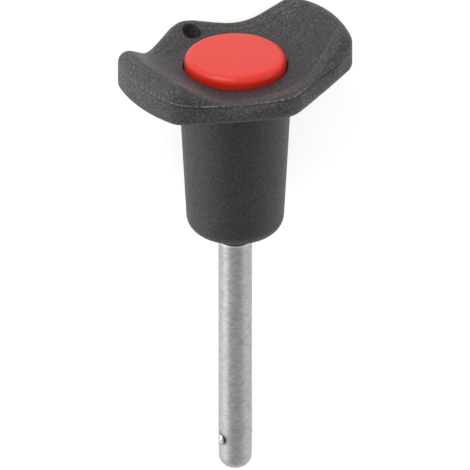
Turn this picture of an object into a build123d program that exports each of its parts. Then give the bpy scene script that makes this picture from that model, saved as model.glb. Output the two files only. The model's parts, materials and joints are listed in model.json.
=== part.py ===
from build123d import *
import os
from math import asin, atan, cos, radians, sin, sqrt, tan

# Ball lock pin with a two-winged hand grip and a push button in its middle.
#
# Every piece is drawn standing up round the pin's axis: z = 0 is the shoulder that meets the
# workpiece, the tip is below it and the button above it, and the wings lie along X. At the end the
# whole pin is laid down the way it rests, on its tip and on one flat of the grip.

os.makedirs("parts", exist_ok=True)

# ---- driving dimensions, millimetres and degrees ----

# shank
SHANK_D = 6.0
GRIP_LENGTH = 40.0          # shoulder to the plane of the balls
TIP_LENGTH = 6.4            # plane of the balls to the end of the tip
TIP_FLAT_D = 1.0            # small flat left at the end of the round tip
NOSE_LEAD = 0.8             # the full diameter ends this far above the balls
NOSE_EASING = 0.05          # taken off the radius from there to the round tip
TIP_WALL = 1.3              # metal left under the blind bore
TAIL_D = 5.2                # reduced end that the grip is moulded round
ANCHOR_ACROSS_FLATS = 8.0   # hexagon that keeps the shank from turning and pulling out
ANCHOR_Z = 5.0
ANCHOR_HEIGHT = 3.0

# balls and their windows
BALL_D = 2.4
BALL_COUNT = 2
BALL_PROTRUSION = 0.5       # how far a locked ball stands out of the shank
BALL_SINK = 0.03            # how far a released ball lies below the shank's surface
STAKED_MOUTH_D = 2.05       # a window is closed in to this at the surface
STAKED_LIP = 0.4            # depth of the closed-in part

# spindle
SPINDLE_D = 3.2
STOP_FLANGE_HEIGHT = 0.8
SNAP_GROOVE_DEPTH = 0.4
SNAP_GROOVE_WIDTH = 1.0

# push button
BUTTON_D = 18.1
BUTTON_THICKNESS = 3.15
BUTTON_RISE = 2.1           # top of its rim above the dish
BUTTON_CROWN = 0.2          # extra height of the domed top over its rim
CROWN_FLAT_D = 2.0          # flat in the middle of the dome
BUTTON_EDGE_R = 1.3
BUTTON_TRAVEL = 3.2
SKIRT_WALL = 1.5
SKIRT_LENGTH = 8.0
BOSS_LENGTH = 5.2
SOCKET_ROOF = 1.4           # plastic left over the spindle's blind socket

# spring and its washer
WIRE_D = 0.8
SPRING_D = 9.2              # outside diameter
SPRING_TURNS = 7.0
WASHER_T = 0.8

# grip: collar and barrel
COLLAR_D = 6.4
COLLAR_HEIGHT = 2.1
BARREL_HEIGHT = 32.6        # underside of the barrel to the dish
BARREL_BOTTOM_D = 17.1
NECK_WALL = 0.85            # barrel's top, outside the button's recess
BARREL_EDGE_R = 3.0
BARREL_NECK_R = 2.8         # where the barrel flows into the head
CHAMBER_FLOOR_Z = 13.0      # floor of the spring's chamber

# grip: winged head
HEAD_CORNER_X = 19.1
HEAD_CORNER_Y = 9.4
HEAD_END_BULGE = 1.65       # how far the middle of each end arc stands out past its corners
HEAD_SIDE_SLOPE = 25.5      # side flats against the X axis
HEAD_LOBE_R = 6.2
HEAD_CORNER_R = 4.0
HEAD_BLANK_RISE = 9.0       # the blank's height over the dish, above the wings' crests
UNDERSIDE_DROP = 3.3        # middle of the underside below the dish
UNDERSIDE_R = 300.0
CREST_R = 2.0
LOWER_EDGE_R = 1.5
DISH_HALF_LENGTH = 6.6      # flat middle of the dish, along the wings
DISH_HALF_WIDTH = 9.6
WING_SWEEP_R = 10.6
WING_ANGLE = 33.0
LIP_R = 10.1
LIP_ANGLE = 45.0
LANYARD_D = 3.3
LANYARD_Y = 13.6

# clearances
RUNNING = 0.05              # spindle in its bore and against the balls
BALL_PLAY = 0.03            # ball in its window
GUIDE = 0.10                # button skirt in the chamber
BUTTON_GAP = 0.25           # button rim in its recess
PRESS_GAP = 0.10            # left under the button when it is fully pressed
SPRING_ROOM = 0.8           # round the outside of the spring
BOSS_ROOM = 0.3             # round the button's boss, inside the spring
WASHER_RIM_ROOM = 1.0       # round the outside of the washer
WASHER_PLAY = 0.05          # washer round the tail of the shank

# ---- sizes that follow ----

shank_r = SHANK_D / 2
tail_r = TAIL_D / 2
tail_top_z = CHAMBER_FLOOR_Z + WASHER_T
tip_z = -GRIP_LENGTH - TIP_LENGTH
spindle_r = SPINDLE_D / 2
bore_r = spindle_r + RUNNING

ball_z = -GRIP_LENGTH
ball_r = BALL_D / 2
nose_z = ball_z + ball_r + NOSE_LEAD
nose_r = shank_r - NOSE_EASING
locked_x = shank_r + BALL_PROTRUSION - ball_r
ball_travel = BALL_PROTRUSION + BALL_SINK
released_x = locked_x - ball_travel
ball_reach = ball_r + RUNNING

dish_z = COLLAR_HEIGHT + BARREL_HEIGHT
head_under_z = dish_z - UNDERSIDE_DROP
button_r = BUTTON_D / 2
rim_z = dish_z + BUTTON_RISE
button_under_z = rim_z - BUTTON_THICKNESS
recess_floor_z = button_under_z - BUTTON_TRAVEL - PRESS_GAP
recess_r = button_r + BUTTON_GAP
skirt_r = SPRING_D / 2 + SPRING_ROOM + SKIRT_WALL
chamber_r = skirt_r + GUIDE
washer_r = chamber_r - WASHER_RIM_ROOM
boss_r = SPRING_D / 2 - WIRE_D - BOSS_ROOM
boss_z = button_under_z - BOSS_LENGTH
socket_top_z = rim_z - SOCKET_ROOF
snap_z = (boss_z + socket_top_z) / 2

# The spindle's cone lets the balls in as the button goes down: its slope is the balls' travel over the
# button's, and it stands off each ball by the running clearance.
cone_angle = atan(ball_travel / BUTTON_TRAVEL)


def cone_radius(height):
    """Radius of the spindle's cone at a height above the balls, with the button at rest."""
    return locked_x - ball_reach / cos(cone_angle) - height * tan(cone_angle)


def clear_height(radius, ball_x):
    """Height over a ball at which a shoulder of this radius just clears it."""
    return sqrt(ball_reach**2 - (ball_x - radius) ** 2)


# ---- shank: turned steel, drilled from the tail, with a window for each ball ----

with BuildPart() as ball_window:
    with BuildSketch(Plane.XZ):
        with BuildLine():
            Polyline(
                (0, ball_z),
                (0, ball_z + ball_r + BALL_PLAY),
                (shank_r - STAKED_LIP, ball_z + ball_r + BALL_PLAY),
                (shank_r, ball_z + STAKED_MOUTH_D / 2),
                (shank_r + BALL_D, ball_z + STAKED_MOUTH_D / 2),
                (shank_r + BALL_D, ball_z),
                close=True,
            )
        make_face()
    revolve(axis=Axis((0, 0, ball_z), (1, 0, 0)))

with BuildPart() as shank:
    with BuildSketch(Plane.XZ) as shank_profile:
        with BuildLine():
            Polyline(
                (0, tip_z),
                (nose_r, tip_z),
                (shank_r, nose_z),
                (shank_r, 0),
                (tail_r, 0),
                (tail_r, tail_top_z),
                (0, tail_top_z),
                close=True,
            )
        make_face()
        tip_corner = shank_profile.vertices().sort_by(Axis.Y)[:2].sort_by(Axis.X)[-1]
        fillet(tip_corner, nose_r - TIP_FLAT_D / 2)
    revolve(axis=Axis.Z)
    with BuildSketch(Plane.XY.offset(ANCHOR_Z)):
        RegularPolygon(ANCHOR_ACROSS_FLATS / 2, 6, major_radius=False)
    extrude(amount=ANCHOR_HEIGHT)
    with Locations((0, 0, tail_top_z)):
        Hole(bore_r, depth=tail_top_z - tip_z - TIP_WALL)
    with PolarLocations(0, BALL_COUNT):
        add(ball_window.part, mode=Mode.SUBTRACT)

# ---- balls, one solid each, locked out ----

balls = []
for turn in range(BALL_COUNT):
    side = Plane(origin=(0, 0, ball_z)).rotated((0, 0, 360 / BALL_COUNT * turn))
    with BuildPart(side) as ball:
        with Locations((locked_x, 0, 0)):
            Sphere(ball_r)
    balls.append(ball)

# ---- spindle: stop flange under the balls, cone and neck behind them, snap groove in the button ----

with BuildPart() as spindle:
    flange_top_z = ball_z - clear_height(spindle_r, locked_x)
    neck_r = cone_radius(BUTTON_TRAVEL)
    neck_top_z = ball_z + BUTTON_TRAVEL + clear_height(spindle_r, released_x)
    with BuildSketch(Plane.XZ):
        with BuildLine():
            Polyline(
                (0, flange_top_z - STOP_FLANGE_HEIGHT),
                (spindle_r, flange_top_z - STOP_FLANGE_HEIGHT),
                (spindle_r, flange_top_z),
                (cone_radius(flange_top_z - ball_z), flange_top_z),
                (neck_r, ball_z + BUTTON_TRAVEL),
                (neck_r, neck_top_z),
                (spindle_r, neck_top_z),
                (spindle_r, snap_z - SNAP_GROOVE_WIDTH / 2),
                (spindle_r - SNAP_GROOVE_DEPTH, snap_z - SNAP_GROOVE_WIDTH / 2),
                (spindle_r - SNAP_GROOVE_DEPTH, snap_z + SNAP_GROOVE_WIDTH / 2),
                (spindle_r, snap_z + SNAP_GROOVE_WIDTH / 2),
                (spindle_r, socket_top_z),
                (0, socket_top_z),
                close=True,
            )
        make_face()
    revolve(axis=Axis.Z)

# ---- push button: domed disc, guide skirt and a boss that snaps on the spindle ----

with BuildPart() as push_button:
    with BuildSketch(Plane.XZ) as button_profile:
        with BuildLine():
            flat = Line((0, rim_z + BUTTON_CROWN), (CROWN_FLAT_D / 2, rim_z + BUTTON_CROWN))
            TangentArc(flat @ 1, (button_r, rim_z), tangent=flat % 1)
            Polyline(
                (button_r, rim_z),
                (button_r, button_under_z),
                (skirt_r, button_under_z),
                (skirt_r, button_under_z - SKIRT_LENGTH),
                (skirt_r - SKIRT_WALL, button_under_z - SKIRT_LENGTH),
                (skirt_r - SKIRT_WALL, button_under_z),
                (boss_r, button_under_z),
                (boss_r, boss_z),
                (0, boss_z),
                (0, rim_z + BUTTON_CROWN),
            )
        make_face()
        top_edge = button_profile.vertices().group_by(Axis.X)[-1].sort_by(Axis.Y)[-1]
        fillet(top_edge, BUTTON_EDGE_R)
    revolve(axis=Axis.Z)
    add(spindle.part, mode=Mode.SUBTRACT)

# ---- release spring: wire coil ground flat at both ends ----

with BuildPart() as release_spring:
    with BuildLine() as coil:
        Helix(
            pitch=(button_under_z - tail_top_z) / SPRING_TURNS,
            height=button_under_z - tail_top_z,
            radius=(SPRING_D - WIRE_D) / 2,
            center=(0, 0, tail_top_z),
        )
    with BuildSketch(Plane(origin=coil.line @ 0, z_dir=coil.line % 0)):
        Circle(WIRE_D / 2)
    sweep(is_frenet=True)
    with BuildSketch(Plane.XY.offset(tail_top_z)):
        Circle(SPRING_D)
    extrude(amount=button_under_z - tail_top_z, mode=Mode.INTERSECT)

# ---- spring washer, on the chamber's floor and round the tail of the shank ----

with BuildPart() as spring_washer:
    with BuildSketch(Plane.XY.offset(CHAMBER_FLOOR_Z)):
        Circle(washer_r)
        Circle(tail_r + WASHER_PLAY, mode=Mode.SUBTRACT)
    extrude(amount=WASHER_T)

# ---- grip: one moulding, with its head cut to the dish, then barrel, neck and bores ----

# Solid whose top is the dish: flat in the middle, swept up to the wings and to the lips.
with BuildPart() as dish_form:
    with BuildLine(Plane.XZ) as wing_sweep:
        middle = Line((0, dish_z), (DISH_HALF_LENGTH, dish_z))
        rise = JernArc(middle @ 1, middle % 1, WING_SWEEP_R, WING_ANGLE)
        Line(rise @ 1, rise @ 1 + rise % 1 * HEAD_CORNER_X)
    with BuildSketch(Plane.YZ):
        with BuildLine():
            floor = Line((0, dish_z), (DISH_HALF_WIDTH, dish_z))
            lip = JernArc(floor @ 1, floor % 1, LIP_R, LIP_ANGLE)
            brim = Line(lip @ 1, lip @ 1 + lip % 1 * LIP_R)
            Polyline(
                brim @ 1,
                ((brim @ 1).X, dish_z - HEAD_CORNER_Y),
                (0, dish_z - HEAD_CORNER_Y),
                (0, dish_z),
            )
        make_face()
        mirror(about=Plane.YZ)
    sweep(path=wing_sweep.line)
    mirror(about=Plane.YZ)

with BuildPart() as grip:
    with BuildSketch(Plane.XY.offset(dish_z + HEAD_BLANK_RISE)) as head_outline:
        lobe_point_y = HEAD_CORNER_Y + HEAD_CORNER_X * tan(radians(HEAD_SIDE_SLOPE))
        with BuildLine():
            Line((0, -lobe_point_y), (HEAD_CORNER_X, -HEAD_CORNER_Y))
            ThreePointArc(
                (HEAD_CORNER_X, -HEAD_CORNER_Y),
                (HEAD_CORNER_X + HEAD_END_BULGE, 0),
                (HEAD_CORNER_X, HEAD_CORNER_Y),
            )
            Line((HEAD_CORNER_X, HEAD_CORNER_Y), (0, lobe_point_y))
            mirror(about=Plane.YZ)
        make_face()
        lobe_points = head_outline.vertices().group_by(Axis.Y)
        fillet(lobe_points[0] + lobe_points[-1], HEAD_LOBE_R)
        ends = head_outline.vertices().group_by(Axis.X)
        fillet(ends[0] + ends[-1], HEAD_CORNER_R)
    extrude(amount=-HEAD_BLANK_RISE - 2 * UNDERSIDE_DROP)
    add(dish_form.part, mode=Mode.INTERSECT)
    with Locations((0, 0, head_under_z + UNDERSIDE_R)):
        Sphere(UNDERSIDE_R, rotation=(90, 0, 0), mode=Mode.INTERSECT)

    def steep(face):
        return abs(face.normal_at().Z) < 0.25

    walls = grip.faces().filter_by(steep)
    hollow = grip.faces().filter_by(lambda face: face.normal_at().Z > 0.25)
    crest = (hollow.edges() & walls.edges()).sort_by(Axis.Z)
    fillet(crest, CREST_R)
    walls = grip.faces().filter_by(steep)
    underside = grip.faces().filter_by(lambda face: face.normal_at().Z < -0.25)
    lower_edge = (underside.edges() & walls.edges()).sort_by(Axis.Z)
    fillet(lower_edge, LOWER_EDGE_R)

    with BuildSketch(Plane.XZ) as barrel_profile:
        with BuildLine():
            Polyline(
                (0, 0),
                (COLLAR_D / 2, 0),
                (COLLAR_D / 2, COLLAR_HEIGHT),
                (BARREL_BOTTOM_D / 2, COLLAR_HEIGHT),
                (recess_r + NECK_WALL, dish_z - UNDERSIDE_DROP / 2),
                (0, dish_z - UNDERSIDE_DROP / 2),
                close=True,
            )
        make_face()
        bottom_corner = barrel_profile.vertices().group_by(Axis.Y)[1].sort_by(Axis.X)[-1]
        fillet(bottom_corner, BARREL_EDGE_R)
    revolve(axis=Axis.Z)
    neck = grip.edges().filter_by(lambda edge: edge.is_closed).sort_by(Axis.Z)[-1]
    fillet(neck, BARREL_NECK_R)

    with BuildSketch(Plane.XZ):
        with BuildLine():
            Polyline(
                (0, 0),
                (tail_r, 0),
                (tail_r, CHAMBER_FLOOR_Z),
                (chamber_r, CHAMBER_FLOOR_Z),
                (chamber_r, recess_floor_z),
                (recess_r, recess_floor_z),
                (recess_r, dish_z + HEAD_BLANK_RISE),
                (0, dish_z + HEAD_BLANK_RISE),
                close=True,
            )
        make_face()
    revolve(axis=Axis.Z, mode=Mode.SUBTRACT)
    with BuildSketch(Plane.XY.offset(ANCHOR_Z)):
        RegularPolygon(ANCHOR_ACROSS_FLATS / 2, 6, major_radius=False)
    extrude(amount=ANCHOR_HEIGHT, mode=Mode.SUBTRACT)
    with Locations((0, LANYARD_Y, dish_z + HEAD_BLANK_RISE)):
        Hole(LANYARD_D / 2)

# ---- at rest: the pin lies on its tip and on the side flat of the head ----


def floor_below(lean):
    """The floor in the pin's own coordinates, with X along it towards the button."""
    flat = radians(HEAD_SIDE_SLOPE)
    up = Vector(-sin(flat) * cos(lean), -cos(flat) * cos(lean), sin(lean))
    return Plane(origin=(0, 0, 0), x_dir=Vector(0, 0, 1) - up * up.Z, z_dir=up)


def lowest(piece, floor):
    """Height of a piece's lowest point over the floor."""
    return floor.to_local_coords(piece.part).bounding_box().min.Z


lean = 0
for _ in range(6):
    floor = floor_below(lean)
    lean += asin((lowest(shank, floor) - lowest(grip, floor)) / (dish_z - tip_z))
floor = floor_below(lean)

pieces = {
    "grip": grip,
    "push_button": push_button,
    "shank": shank,
    "spindle": spindle,
    "release_spring": release_spring,
    "spring_washer": spring_washer,
}
for number, ball in enumerate(balls, start=1):
    pieces[f"locking_ball_{number}"] = ball

laid = {name: floor.to_local_coords(piece.part) for name, piece in pieces.items()}
box = Compound(laid.values()).bounding_box()
to_origin = Location((-box.center().X, -box.center().Y, -box.min.Z))
for name, solid in laid.items():
    placed = solid.moved(to_origin)
    placed.label = name
    export_step(placed, f"parts/{name}.step")
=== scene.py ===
import json
import math

import bpy
from mathutils import Matrix, Vector


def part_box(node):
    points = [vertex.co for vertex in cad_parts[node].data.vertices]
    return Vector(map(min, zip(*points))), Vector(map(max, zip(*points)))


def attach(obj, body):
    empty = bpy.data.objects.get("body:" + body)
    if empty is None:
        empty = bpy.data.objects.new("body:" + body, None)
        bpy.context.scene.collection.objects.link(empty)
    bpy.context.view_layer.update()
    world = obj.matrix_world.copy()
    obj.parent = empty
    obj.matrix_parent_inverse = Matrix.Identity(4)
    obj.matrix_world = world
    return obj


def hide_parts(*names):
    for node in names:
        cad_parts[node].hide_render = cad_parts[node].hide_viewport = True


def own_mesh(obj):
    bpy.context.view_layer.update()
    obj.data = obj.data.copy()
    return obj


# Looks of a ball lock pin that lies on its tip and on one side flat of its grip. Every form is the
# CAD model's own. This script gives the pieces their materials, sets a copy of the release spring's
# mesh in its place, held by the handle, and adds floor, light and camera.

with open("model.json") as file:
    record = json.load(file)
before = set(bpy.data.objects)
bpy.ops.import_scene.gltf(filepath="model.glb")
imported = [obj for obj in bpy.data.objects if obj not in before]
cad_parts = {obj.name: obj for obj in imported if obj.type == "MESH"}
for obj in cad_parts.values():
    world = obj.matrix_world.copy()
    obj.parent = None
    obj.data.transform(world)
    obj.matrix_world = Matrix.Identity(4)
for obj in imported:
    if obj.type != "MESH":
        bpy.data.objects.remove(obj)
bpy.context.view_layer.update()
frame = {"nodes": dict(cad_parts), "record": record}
bpy.context.scene.view_settings.view_transform = "Standard"
mounts = {mount["name"]: mount for mount in frame["record"]["mounts"]}
joints = {joint["name"]: joint for joint in frame["record"]["behaviour"]["joints"]}
MM = 0.001

# ---- the pin's own axes in the row frame: origin at the shoulder, z towards the button ----

shank_mount = mounts["shank_pin"]
axis_z = -Vector(shank_mount["axis"]).normalized()
axis_x = -Vector(joints["ball_1_slide"]["axis"]).normalized()
axis_y = axis_z.cross(axis_x)
shoulder = Vector(shank_mount["pos_m"]) + axis_z * (shank_mount["dims"]["length_mm"] / 2) * MM
ball_low, ball_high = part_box("locking_ball_1")
ball_z = ((ball_low + ball_high) / 2 - shoulder).dot(axis_z) / MM

# ---- camera: a long lens that looks down on the pin from its button's side ----

TURN = math.radians(34.6)       # round the pin's axis
LIFT = math.radians(28.8)       # over the plane square to that axis
DISTANCE = 3.4
FRAME_WIDTH = 0.08353           # seen across the pin
SENSOR = 36.0
AIM_RIGHT = -0.036 * MM         # where it aims, from the shoulder
AIM_UP = 0.463 * MM

right = axis_x * math.cos(TURN) - axis_y * math.sin(TURN)
towards = (
    -axis_x * math.sin(TURN) * math.cos(LIFT)
    - axis_y * math.cos(TURN) * math.cos(LIFT)
    + axis_z * math.sin(LIFT)
)
upward = towards.cross(right)
aim = shoulder + right * AIM_RIGHT + upward * AIM_UP
camera_data = bpy.data.cameras.new("camera")
camera_data.sensor_width = SENSOR
camera_data.lens = SENSOR * DISTANCE / FRAME_WIDTH
camera_data.clip_start = 0.01
camera_data.clip_end = 20
camera = bpy.data.objects.new("camera", camera_data)
turned = Matrix((right, upward, towards)).transposed().to_4x4()
camera.matrix_world = Matrix.Translation(aim + towards * DISTANCE) @ turned
bpy.context.collection.objects.link(camera)
bpy.context.scene.camera = camera

# ---- material helpers ----


def rgb(red, green, blue):
    """A colour in linear light, as a node's socket takes it."""
    return (red, green, blue, 1.0)


def dimmed(colour, share):
    return rgb(*(share * part for part in colour))


class Nodes:
    """Short names for making and joining the nodes of one material or world."""

    def __init__(self, owner, output):
        owner.use_nodes = True
        self.tree = owner.node_tree
        self.tree.nodes.clear()
        self.output = self.add(output)

    def add(self, kind, inputs=None, **settings):
        node = self.tree.nodes.new("ShaderNode" + kind)
        for key, value in settings.items():
            setattr(node, key, value)
        for key, value in (inputs or {}).items():
            if isinstance(value, bpy.types.NodeSocket):
                self.tree.links.new(value, node.inputs[key])
            else:
                node.inputs[key].default_value = value
        return node

    def math(self, operation, a, b=0.0):
        return self.add("Math", {0: a, 1: b}, operation=operation).outputs[0]

    def plus(self, a, b):
        return self.math("ADD", a, b)

    def minus(self, a, b):
        return self.math("SUBTRACT", a, b)

    def times(self, a, b):
        return self.math("MULTIPLY", a, b)

    def vector(self, operation, a, b=(0.0, 0.0, 0.0)):
        node = self.add("VectorMath", {0: a, 1: b}, operation=operation)
        return node.outputs["Value" if operation in ("DOT_PRODUCT", "LENGTH") else "Vector"]

    def join(self, x, y, z=0.0):
        return self.add("CombineXYZ", {0: x, 1: y, 2: z}).outputs[0]

    def pin_space(self):
        """The shaded point in the pin's own axes, in millimetres: as one vector, and as x, y, z."""
        offset = self.vector("SUBTRACT", self.add("TexCoord").outputs["Object"], tuple(shoulder))
        parts = [
            self.vector("DOT_PRODUCT", offset, tuple(axis / MM)) for axis in (axis_x, axis_y, axis_z)
        ]
        return self.join(*parts), parts

    def noise(self, vector, scale, detail=3.0, roughness=0.55):
        inputs = {"Vector": vector, "Scale": scale, "Detail": detail, "Roughness": roughness}
        return self.add("TexNoise", inputs).outputs["Fac"]

    def ramp(self, value, low, high):
        """The value stretched from its own range low to high onto 0 to 1."""
        return self.add("MapRange", {"Value": value, "From Min": low, "From Max": high}).outputs[0]

    def span(self, value, low, high):
        """A 0 to 1 value moved onto low to high."""
        return self.add("MapRange", {"Value": value, "To Min": low, "To Max": high}).outputs[0]

    def band(self, value, limits, soft):
        """1 between the two limits, 0 outside, with soft edges."""
        low, high = limits
        rise = self.ramp(value, low - soft, low + soft)
        fall = self.ramp(value, high - soft, high + soft)
        return self.minus(rise, fall)

    def mix_colour(self, factor, first, second):
        return self.add("Mix", {0: factor, 6: first, 7: second}, data_type="RGBA").outputs[2]

    def bump(self, height, distance_mm, strength=1.0, normal=None):
        inputs = {"Height": height, "Distance": distance_mm * MM, "Strength": strength}
        if normal is not None:
            inputs["Normal"] = normal
        return self.add("Bump", inputs).outputs[0]

    def surface(self, shader):
        self.tree.links.new(shader.outputs[0], self.output.inputs["Surface"])

    def principled(self, **inputs):
        named = {key.replace("_", " "): value for key, value in inputs.items()}
        self.surface(self.add("BsdfPrincipled", named))


def new_material(name):
    material = bpy.data.materials.new(name)
    return material, Nodes(material, "OutputMaterial")


# ---- grip: charcoal moulding with an eroded grain, a fine parting line, and painted light: a lighter crest, highlight dots, glints and a highlight crease ----

# Sizes of the head in the pin's own axes, in millimetres.
DISH_Z = 34.7                   # middle of the dish
DISH_HALF_LENGTH = 6.6          # its flat middle, along the wings and across them
DISH_HALF_WIDTH = 9.6
WING_SWEEP_R = 10.6
WING_ANGLE = math.radians(33.0)
LIP_R = 10.1
LIP_ANGLE = math.radians(45.0)
HEAD_APEX_X = 20.75             # middle of the arc at each end
HEAD_CORNER_X = 19.1
HEAD_CORNER_Y = 9.4
SIDE_SLOPE = math.radians(25.5)
HEAD_GRAIN_Z = (DISH_Z - 3.6, DISH_Z - 2.6)     # the barrel's look turns into the head's here

PARTING_SHARE = 0.3             # the parting line rises by this share of the dish's own rise
PARTING_REACH = (1.0, 1.3)      # and fades out this far inside the outline
LINE_BAND = (-0.13, 0.08)       # dark line, in height over the parting
RIDGE_AND_HIGHLIGHT_BAND = (0.12, 0.32)       # raised ridge just above it, also painted with highlight dots
CREST_AT_END = 1.5              # how far the crest reaches in from the head's ends and sides
CREST_AT_SIDE = 3.4
GRAIN_DEPTH = 0.18
PARTING_DEPTH = 0.06

HOLLOW_DEEP = rgb(0.008, 0.0065, 0.009)
HOLLOW_PALE = rgb(0.013, 0.011, 0.014)
SLEEVE = rgb(0.0125, 0.0112, 0.0108)
# painted light: the crest and outer walls drawn lighter than the hollows
CREST_PAINTED_LIGHT = rgb(0.016, 0.0135, 0.0130)
HOLLOW_GRAIN = rgb(0.044, 0.040, 0.047)
# painted light: the crest's grain drawn lighter than the hollows' grain
CREST_GRAIN_PAINTED_LIGHT = rgb(0.066, 0.061, 0.060)
# painted glints: specks of highlight in the grain
PAINTED_GLINT = rgb(0.20, 0.195, 0.205)
# painted highlight along the crest's inner edge
CREASE_HIGHLIGHT = rgb(0.11, 0.105, 0.11)
# painted highlight dots on the ridge above the parting line
HIGHLIGHT_DOT = rgb(0.21, 0.205, 0.205)
PARTING_LINE = rgb(0.003, 0.0025, 0.0025)


def arc_rise(n, distance, radius, angle):
    """How far an arc that starts level has risen at a distance, up to its full angle."""
    reach = n.math("MINIMUM", distance, radius * math.sin(angle))
    below = n.minus(radius ** 2, n.times(reach, reach))
    return n.minus(radius, n.math("SQRT", below))


def parting_height(n, x, y):
    """Height of the parting line over a place, given how far it is from the middle."""
    along = n.math("MAXIMUM", n.minus(x, DISH_HALF_LENGTH), 0.0)
    across = n.math("MAXIMUM", n.minus(y, DISH_HALF_WIDTH), 0.0)
    straight = n.math("MAXIMUM", n.minus(along, WING_SWEEP_R * math.sin(WING_ANGLE)), 0.0)
    swept = arc_rise(n, along, WING_SWEEP_R, WING_ANGLE)
    wing = n.plus(swept, n.times(straight, math.tan(WING_ANGLE)))
    rise = n.plus(wing, arc_rise(n, across, LIP_R, LIP_ANGLE))
    return n.plus(n.times(rise, PARTING_SHARE), DISH_Z)


def insets(n, x, y):
    """How far inside the head's end and side a place lies."""
    lobe_y = HEAD_CORNER_Y + HEAD_CORNER_X * math.tan(SIDE_SLOPE)
    sloped = n.plus(y, n.times(x, math.tan(SIDE_SLOPE)))
    side = n.times(n.minus(lobe_y, sloped), math.cos(SIDE_SLOPE))
    bulge = HEAD_APEX_X - HEAD_CORNER_X
    end_r = (bulge ** 2 + HEAD_CORNER_Y ** 2) / (2 * bulge)
    from_centre = n.vector("LENGTH", n.join(n.minus(x, HEAD_APEX_X - end_r), y))
    return n.minus(end_r, from_centre), side


def grip_plastic():
    material, n = new_material("grip_plastic")
    place, (x, y, z) = n.pin_space()
    wide_x = n.math("ABSOLUTE", x)
    wide_y = n.math("ABSOLUTE", y)

    # where on the grip the point lies
    end, side = insets(n, wide_x, wide_y)
    head = n.ramp(z, *HEAD_GRAIN_Z)
    crest_share = n.math(
        "MINIMUM", n.math("DIVIDE", end, CREST_AT_END), n.math("DIVIDE", side, CREST_AT_SIDE)
    )
    # the crest and outer walls, which are painted lighter as painted light
    crest = n.times(head, n.minus(1.0, n.ramp(crest_share, 0.90, 1.10)))
    # a painted highlight line along the crest's inner edge
    crease_highlight = n.times(head, n.band(crest_share, (0.93, 1.07), 0.05))
    over_line = n.minus(z, parting_height(n, wide_x, wide_y))
    rim = n.minus(1.0, n.ramp(n.math("MINIMUM", end, side), *PARTING_REACH))
    line = n.times(rim, n.band(over_line, LINE_BAND, 0.04))
    # a raised ridge over the parting line, which also carries painted highlight dots
    ridge_and_highlight = n.times(rim, n.band(over_line, RIDGE_AND_HIGHLIGHT_BAND, 0.05))

    # the grain, and painted glints: specks of highlight, most on the far side of the wings
    pebble = n.noise(place, 2.2, 4.0, 0.6)
    fine = n.noise(place, 6.5, 3.0, 0.6)
    cloud = n.noise(place, 0.16, 2.0)
    patch = n.ramp(n.noise(place, 0.30, 2.0), 0.42, 0.62)
    fleck = n.ramp(n.noise(place, 3.2, 1.0, 0.5), 0.58, 0.70)
    broken = n.ramp(n.noise(place, 1.6, 2.0, 0.5), 0.46, 0.58)
    # where painted glints gather: the far side of both wings
    glint_area = n.times(n.ramp(wide_x, 7.0, 13.0), n.ramp(y, -5.0, 5.0))
    glint_area = n.times(glint_area, n.span(patch, 0.4, 1.0))
    painted_glints = n.times(fleck, n.plus(n.times(glint_area, 0.65), 0.16))
    grain_share = n.span(head, 0.55, 1.0)
    # painted highlight dots on the ridge, broken up and fading out towards the +x end
    highlight_dots = n.times(ridge_and_highlight, n.span(broken, 0.05, 0.80))
    highlight_dots = n.times(highlight_dots, n.span(n.ramp(x, 8.0, 0.0), 0.15, 1.0))

    colour = n.mix_colour(head, SLEEVE, n.mix_colour(cloud, HOLLOW_DEEP, HOLLOW_PALE))
    # painted light: the crest and outer walls, and on the next line their grain, drawn lighter
    colour = n.mix_colour(crest, colour, CREST_PAINTED_LIGHT)
    lit = n.mix_colour(crest, HOLLOW_GRAIN, CREST_GRAIN_PAINTED_LIGHT)
    colour = n.mix_colour(n.times(grain_share, n.ramp(pebble, 0.42, 0.66)), colour, lit)
    # painted glints
    colour = n.mix_colour(n.times(painted_glints, grain_share), colour, PAINTED_GLINT)
    # painted highlight line along the crest's inner edge
    colour = n.mix_colour(n.times(crease_highlight, 0.22), colour, CREASE_HIGHLIGHT)
    # painted highlight dots above the parting line
    colour = n.mix_colour(highlight_dots, colour, HIGHLIGHT_DOT)
    colour = n.mix_colour(n.times(line, 0.9), colour, PARTING_LINE)

    height = n.plus(pebble, n.times(fine, 0.45))
    grain = n.bump(height, GRAIN_DEPTH, n.span(head, 0.75, 1.0))
    step = n.bump(n.minus(ridge_and_highlight, line), PARTING_DEPTH, 0.6, grain)
    rough = n.span(pebble, 0.60, 0.38)
    n.principled(Base_Color=colour, Roughness=rough, Normal=step, IOR=1.5, Specular_IOR_Level=0.42)
    return material


# ---- button: red satin moulding ----

BUTTON_DEEP = rgb(0.68, 0.022, 0.008)
BUTTON_PALE = rgb(0.73, 0.027, 0.011)
BUTTON_GRAIN_DEPTH = 0.03
GLOW_DEPTH = 2.2                # how far light spreads in the red plastic, in millimetres


def button_plastic():
    material, n = new_material("button_plastic")
    place, _ = n.pin_space()
    cloud = n.noise(place, 0.30)
    fine = n.noise(place, 6.0)
    n.principled(
        Base_Color=n.mix_colour(cloud, BUTTON_DEEP, BUTTON_PALE),
        Roughness=n.span(fine, 0.30, 0.42),
        Normal=n.bump(fine, BUTTON_GRAIN_DEPTH, 0.35),
        IOR=1.5,
        Specular_IOR_Level=0.40,
        Subsurface_Weight=0.8,
        Subsurface_Radius=(1.0, 0.2, 0.15),
        Subsurface_Scale=GLOW_DEPTH * MM,
    )
    return material


# ---- steel: turned, drawn, stamped and polished ----

# Marks on the shank, in the pin's own axes and in millimetres.
SWAGED_RING = (1.04, 1.24)      # raised ring round a ball's window, from its middle
SWAGED_GROOVE = (1.24, 1.36)    # and the groove round that
SWAGED_DEPTH = 0.09
SHOULDER_SHADOW = (-0.16, 0.05)    # painted shadow line where the shank enters the grip
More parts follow.
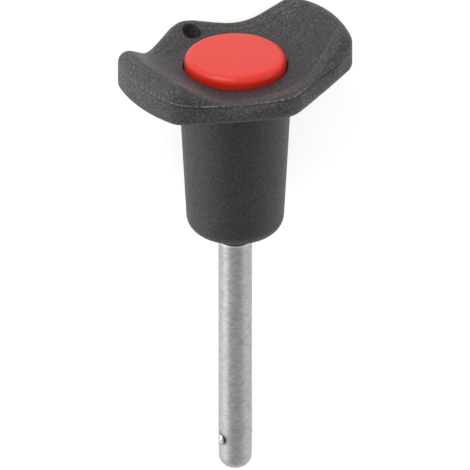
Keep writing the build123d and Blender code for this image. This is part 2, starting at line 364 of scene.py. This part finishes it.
# painted highlight ring just under the shoulder
SHOULDER_SHEEN = (-0.50, -0.24)
TIP_SHEEN = (-42.82, -42.68)    # painted highlight ring where the round tip begins
# painted shade in the groove round a ball's window
GROOVE_SHADE_PAINT = rgb(0.10, 0.095, 0.09)
# painted shadow colour at the shoulder
GAP_SHADOW_PAINT = rgb(0.05, 0.048, 0.048)
# colour of the painted highlight rings
SHEEN = rgb(0.90, 0.89, 0.89)
WINDOW_SHADE_EDGE = (3.06, 3.18)         # a ball's painted shade ends outside this, from the pin's axis
# painted shade on a ball where it lies inside its window
WINDOW_SHADE_COLOUR = rgb(0.02, 0.018, 0.016)


def turned_steel(name, colour, mark_depth, rough, shank=False):
    """Steel with tool marks across the pin's axis; on the shank also the rings round its windows,
    painted shade in their grooves, a painted shadow line at the shoulder and painted highlight
    rings.
    """
    material, n = new_material(name)
    place, (x, y, z) = n.pin_space()
    marks = n.noise(n.join(n.times(x, 0.25), n.times(y, 0.25), z), 4.2, 4.0, 0.7)
    bands = n.noise(n.join(n.times(x, 0.55), n.times(y, 0.55), z), 1.5, 4.0, 0.65)
    stain = n.noise(place, 0.30)
    mottle = n.plus(n.times(marks, 0.55), n.times(bands, 0.45))
    shade = n.mix_colour(n.ramp(mottle, 0.38, 0.60), dimmed(colour, 0.60), dimmed(colour, 1.05))
    red, green, blue = colour
    base = n.mix_colour(n.times(stain, 0.5), shade, rgb(red, 0.975 * green, 0.965 * blue))
    normal = n.bump(n.plus(marks, bands), mark_depth, 0.6)
    if shank:
        from_ball = n.vector("SUBTRACT", place, (0.0, 0.0, ball_z))
        reach = n.vector("LENGTH", n.vector("MULTIPLY", from_ball, (0.0, 1.0, 1.0)))
        groove = n.band(reach, SWAGED_GROOVE, 0.04)
        ring = n.minus(n.band(reach, SWAGED_RING, 0.05), n.times(groove, 0.8))
        normal = n.bump(ring, SWAGED_DEPTH, 0.8, normal)
        # painted shade in the groove round the window
        base = n.mix_colour(n.times(groove, 0.55), base, GROOVE_SHADE_PAINT)
        # painted highlight rings under the shoulder and where the tip begins
        bright = n.plus(n.band(z, SHOULDER_SHEEN, 0.06), n.times(n.band(z, TIP_SHEEN, 0.06), 0.3))
        base = n.mix_colour(n.times(bright, 0.40), base, SHEEN)
        # painted shadow line where the shank enters the grip
        base = n.mix_colour(n.times(n.band(z, SHOULDER_SHADOW, 0.04), 0.80), base, GAP_SHADOW_PAINT)
    n.principled(Base_Color=base, Metallic=1.0, Roughness=n.span(marks, *rough), Normal=normal)
    return material


def polished_steel(name, colour):
    """Bright steel, painted dark as shade as far as the ball lies inside its window."""
    material, n = new_material(name)
    place, (x, _, _) = n.pin_space()
    haze = n.noise(place, 1.2)
    fine = n.noise(place, 14.0, 2.0)
    shade = n.mix_colour(haze, dimmed(colour, 0.92), rgb(*colour))
    # painted shade on the ball inside its window
    window_shade = n.minus(1.0, n.ramp(n.math("ABSOLUTE", x), *WINDOW_SHADE_EDGE))
    n.principled(
        Base_Color=n.mix_colour(n.times(window_shade, 0.92), shade, WINDOW_SHADE_COLOUR),
        Metallic=1.0,
        Roughness=n.span(haze, 0.05, 0.12),
        Normal=n.bump(fine, 0.002, 0.3),
    )
    return material


BALL_COLOUR = (0.60, 0.60, 0.60)
materials = {
    "grip": grip_plastic(),
    "push_button": button_plastic(),
    "shank": turned_steel("shank_steel", (0.475, 0.465, 0.47), 0.024, (0.42, 0.54), shank=True),
    "spindle": turned_steel("spindle_steel", (0.50, 0.50, 0.50), 0.010, (0.25, 0.36)),
    "release_spring": turned_steel("spring_steel", (0.45, 0.45, 0.46), 0.004, (0.22, 0.34)),
    "spring_washer": turned_steel("washer_steel", (0.58, 0.58, 0.58), 0.006, (0.28, 0.40)),
    "locking_ball_1": polished_steel("ball_steel", BALL_COLOUR),
    "locking_ball_2": polished_steel("ball_steel_2", BALL_COLOUR),
}
for node, material in materials.items():
    frame["nodes"][node].material_slots[0].material = material

# ---- release spring: a piece with its own copy of the coil's mesh, held by the handle ----

coil = bpy.data.objects.new("release_coil", frame["nodes"]["release_spring"].data.copy())
bpy.context.collection.objects.link(coil)
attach(coil, "handle")
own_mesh(coil)
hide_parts("release_spring")

# ---- floor: grey by its own light, and white where it is seen ----

FLOOR_HALF = 3.0
FLOOR_GREY = rgb(0.60, 0.60, 0.60)
FLOOR_GLOW = 0.62
WHITE = rgb(1.0, 1.0, 1.0)

corners = [(-1, -1), (1, -1), (1, 1), (-1, 1)]
floor_mesh = bpy.data.meshes.new("floor")
floor_mesh.from_pydata(
    [(cx * FLOOR_HALF, cy * FLOOR_HALF, 0) for cx, cy in corners], [], [(0, 1, 2, 3)]
)
floor = bpy.data.objects.new("floor", floor_mesh)
bpy.context.collection.objects.link(floor)

floor_material, n = new_material("floor")
path = n.add("LightPath")
seen = n.math("MAXIMUM", path.outputs["Is Camera Ray"], path.outputs["Is Glossy Ray"])
seen = n.math("MAXIMUM", seen, path.outputs["Is Transmission Ray"])
pale = n.add("BsdfDiffuse", {"Color": FLOOR_GREY})
glow = n.add("Emission", {"Color": WHITE, "Strength": n.times(seen, FLOOR_GLOW)})
n.surface(n.add("AddShader", {0: pale.outputs[0], 1: glow.outputs[0]}))
floor_mesh.materials.append(floor_material)

# ---- light: a pale studio that is darker overhead, with a dark card, and three soft boxes ----

SKY_RISE = (0.25, 0.95)         # it darkens between these heights, as the z of a direction
HORIZON_LIGHT = 0.92
OVERHEAD_LIGHT = 0.74
CARD_EDGE = (0.50, 0.90)        # the card's soft edge, as the cosine from its middle
CARD_SHARE = 0.66               # light left at its middle
LAMP_AIM = Vector((0.0, 0.0, 0.015))

# The card stands where the shank mirrors the camera.
card_way = towards - axis_z * 2 * towards.dot(axis_z)
world = bpy.data.worlds.new("studio")
bpy.context.scene.world = world
n = Nodes(world, "OutputWorld")
way = n.add("TexCoord").outputs["Generated"]
sky = n.add(
    "MapRange",
    {
        "Value": n.add("SeparateXYZ", {0: way}).outputs["Z"],
        "From Min": SKY_RISE[0],
        "From Max": SKY_RISE[1],
        "To Min": HORIZON_LIGHT,
        "To Max": OVERHEAD_LIGHT,
    },
)
card = n.add(
    "MapRange",
    {
        "Value": n.vector("DOT_PRODUCT", way, tuple(card_way)),
        "From Min": CARD_EDGE[0],
        "From Max": CARD_EDGE[1],
        "To Min": 1.0,
        "To Max": CARD_SHARE,
    },
    interpolation_type="SMOOTHSTEP",
)
strength = n.times(sky.outputs[0], card.outputs[0])
n.surface(n.add("Background", {"Color": WHITE, "Strength": strength}))


def soft_box(name, direction, distance, width, height, watts, colour=(1.0, 1.0, 1.0)):
    """An area lamp that looks at the pin's middle from a direction in the row frame."""
    lamp = bpy.data.lights.new(name, "AREA")
    lamp.shape = "RECTANGLE"
    lamp.size = width
    lamp.size_y = height
    lamp.energy = watts
    lamp.color = colour
    held = bpy.data.objects.new(name, lamp)
    way = Vector(direction).normalized()
    held.location = LAMP_AIM + way * distance
    held.rotation_euler = way.to_track_quat("Z", "Y").to_euler()
    bpy.context.collection.objects.link(held)


soft_box(
    "key_from_button_side", (0.85, 0.45, 0.40), distance=0.55, width=0.30, height=0.30, watts=1.30
)
soft_box("left_box", (-0.05, 0.96, 0.22), distance=0.50, width=0.45, height=0.20, watts=1.15)
soft_box(
    "right_box",
    (-0.10, -0.90, 0.45),
    distance=0.50,
    width=0.45,
    height=0.26,
    watts=0.35,
    colour=(1.0, 0.97, 0.94),
)
